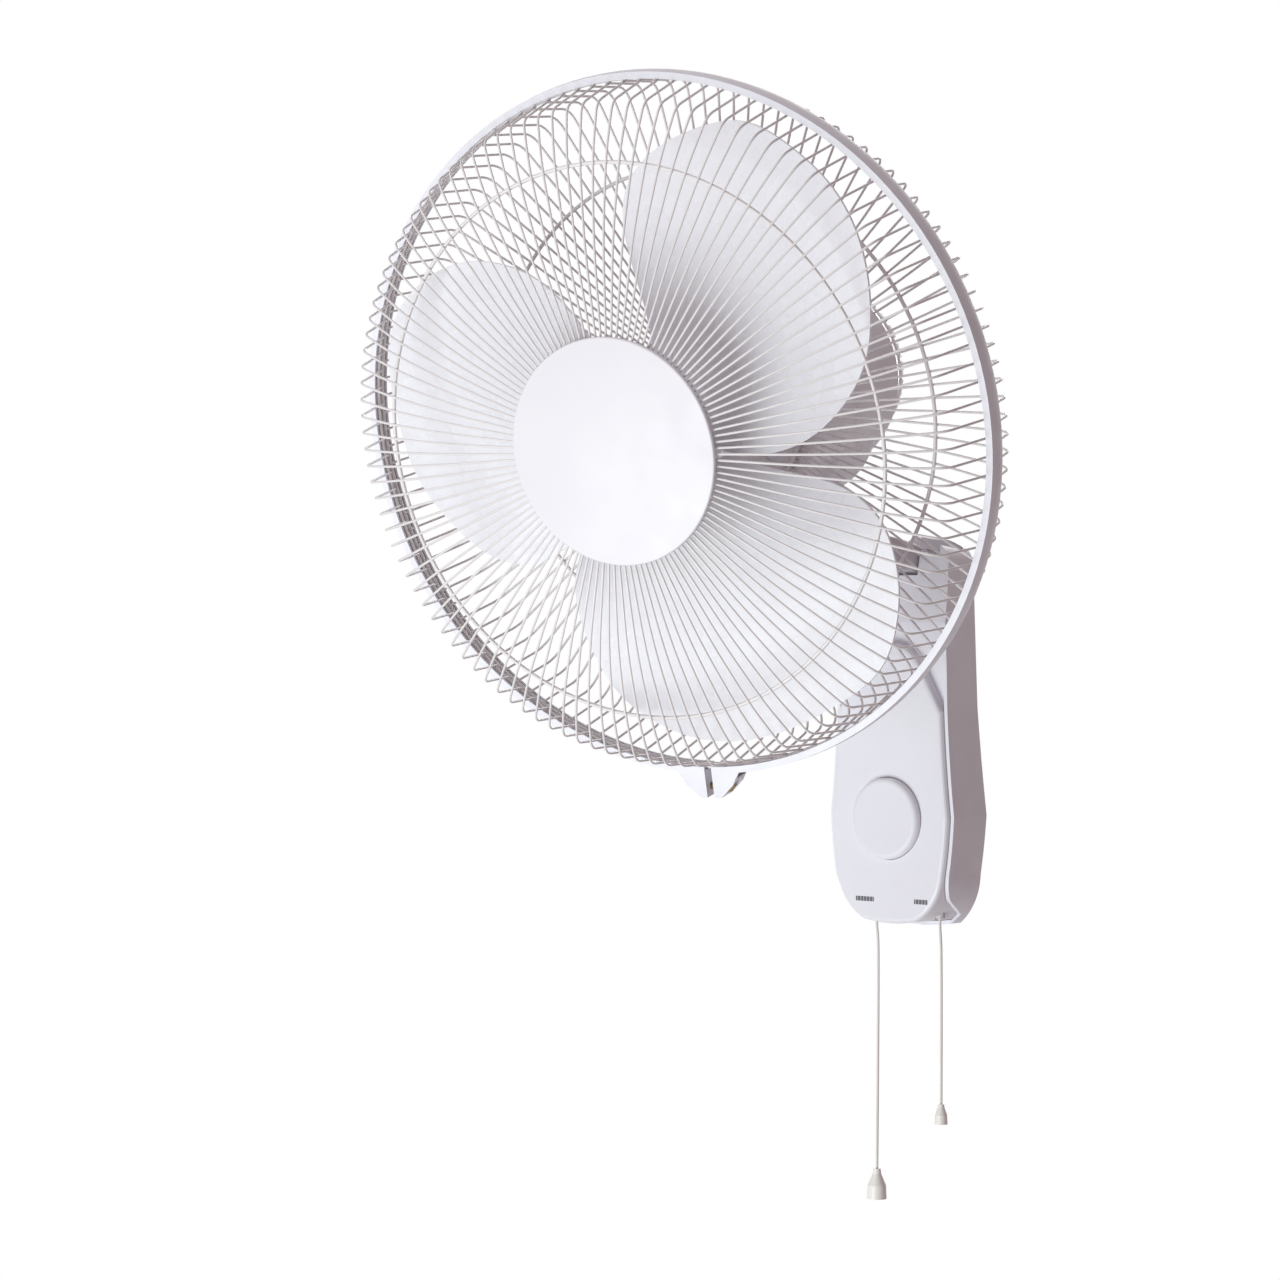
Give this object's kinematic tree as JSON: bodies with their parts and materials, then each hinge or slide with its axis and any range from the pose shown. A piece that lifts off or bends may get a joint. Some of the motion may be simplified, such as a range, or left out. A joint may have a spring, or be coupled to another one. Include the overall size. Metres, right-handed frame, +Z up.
{
  "type": "wall mounted fan",
  "caption": "Wall mounted fan with a swinging, tilting head in a round wire guard, on a slim wall column with pull cords.",
  "frame": {"origin": "centre of the wall plate's four screw holes, on the wall", "axes": "+Y into the wall, -Y out of the wall towards the room, +Z up, +X to the right when the fan is faced"},
  "size_m": [0.4313, 0.4051, 0.7246],
  "materials": {
    "casing_plastic": "satin, off-white",
    "coated_wire": "white plastic-coated wire",
    "blade_plastic": "semi-gloss, off-white",
    "zinc_steel": "zinc plated",
    "lamination_steel": "dark laminations",
    "cast_aluminium": "as cast",
    "coated_casting": "off-white powder coat",
    "copper": "varnished copper wire",
    "brass": "dull brass screw",
    "bearing_bronze": "sintered bronze",
    "dark_plastic": "black moulded plastic",
    "rubber": "pale soft plastic",
    "cord": "braided white cord",
    "pendant_plastic": "off-white"
  },
  "bodies": {
    "column": {"column_rear_housing": "casing_plastic", "column_front_cover": "casing_plastic", "cover_disc": "casing_plastic", "wall_plate": "zinc_steel", "lock_screw": "zinc_steel", "column_screws": "zinc_steel", "tilt_bolt": "zinc_steel", "tilt_nut": "zinc_steel", "tilt_washer": "zinc_steel", "speed_switch": "dark_plastic", "swing_switch": "dark_plastic", "cord_bushes": "rubber", "lead_grommet": "rubber", "run_capacitor": "dark_plastic", "terminal_block": "dark_plastic"},
    "neck": {"neck_arm": "coated_casting", "swivel_pin": "zinc_steel", "swivel_pin_clip": "zinc_steel", "swing_lever": "zinc_steel"},
    "head": {"front_grille_ribs": "coated_wire", "front_grille_rings": "coated_wire", "badge": "casing_plastic", "badge_backplate": "dark_plastic", "badge_screws": "zinc_steel", "guard_hoop": "casing_plastic", "hoop_screw": "brass", "hoop_nut": "brass", "rear_grille_ribs": "coated_wire", "rear_grille_rings": "coated_wire", "rear_grille_plate": "coated_wire", "grille_nut": "blade_plastic", "stator_core": "lamination_steel", "stator_windings": "copper", "motor_front_shield": "cast_aluminium", "motor_rear_shield": "cast_aluminium", "motor_bearings": "bearing_bronze", "motor_bolts": "zinc_steel", "motor_front_cover": "casing_plastic", "motor_rear_cover": "casing_plastic", "motor_cover_screws": "zinc_steel", "swivel_bracket": "cast_aluminium", "swing_motor": "dark_plastic"},
    "blade_rotor": {"fan_blade": "blade_plastic", "blade_spinner": "blade_plastic", "motor_shaft": "zinc_steel", "drive_pin": "zinc_steel", "rotor": "cast_aluminium"},
    "crank": {"swing_crank": "zinc_steel"},
    "speed_pull": {"speed_pull_rod": "zinc_steel", "speed_cord": "cord", "speed_pendant": "pendant_plastic"},
    "swing_pull": {"swing_pull_rod": "zinc_steel", "swing_cord": "cord", "swing_pendant": "pendant_plastic"}
  },
  "joints": [
    {"name": "tilt", "type": "hinge", "parent": "column", "child": "neck", "pos_m": [0, -0.022, 0.112], "axis": [1, 0, 0], "range_deg": [-20.6, 5.4]},
    {"name": "swivel", "type": "hinge", "parent": "neck", "child": "head", "pos_m": [0, -0.1615, 0.2275], "axis": [0, -0.2521, 0.9677], "range_deg": [-50.8, 29.2]},
    {"name": "blade_spin", "type": "hinge", "parent": "head", "child": "blade_rotor", "pos_m": [0.02773, -0.30218, 0.19085], "axis": [0.1874, -0.9506, -0.2476], "continuous": true},
    {"name": "swing_crank_turn", "type": "hinge", "parent": "head", "child": "crank", "pos_m": [-0.003, -0.13444, 0.18598], "axis": [0, -0.2521, 0.9677], "range_deg": [-76, 131.5]},
    {"name": "speed_pull", "type": "slide", "parent": "column", "child": "speed_pull", "axis": [0, 0, -1], "range_m": [0, 0.008], "stiffness_N_per_m": 250, "springref_m": -0.002},
    {"name": "swing_pull", "type": "slide", "parent": "column", "child": "swing_pull", "axis": [0, 0, -1], "range_m": [0, 0.008], "stiffness_N_per_m": 250, "springref_m": -0.002}
  ],
  "couplings": [
    {"joint": "swing_crank_turn", "follows": "swivel", "ratio": -2.571}
  ]
}
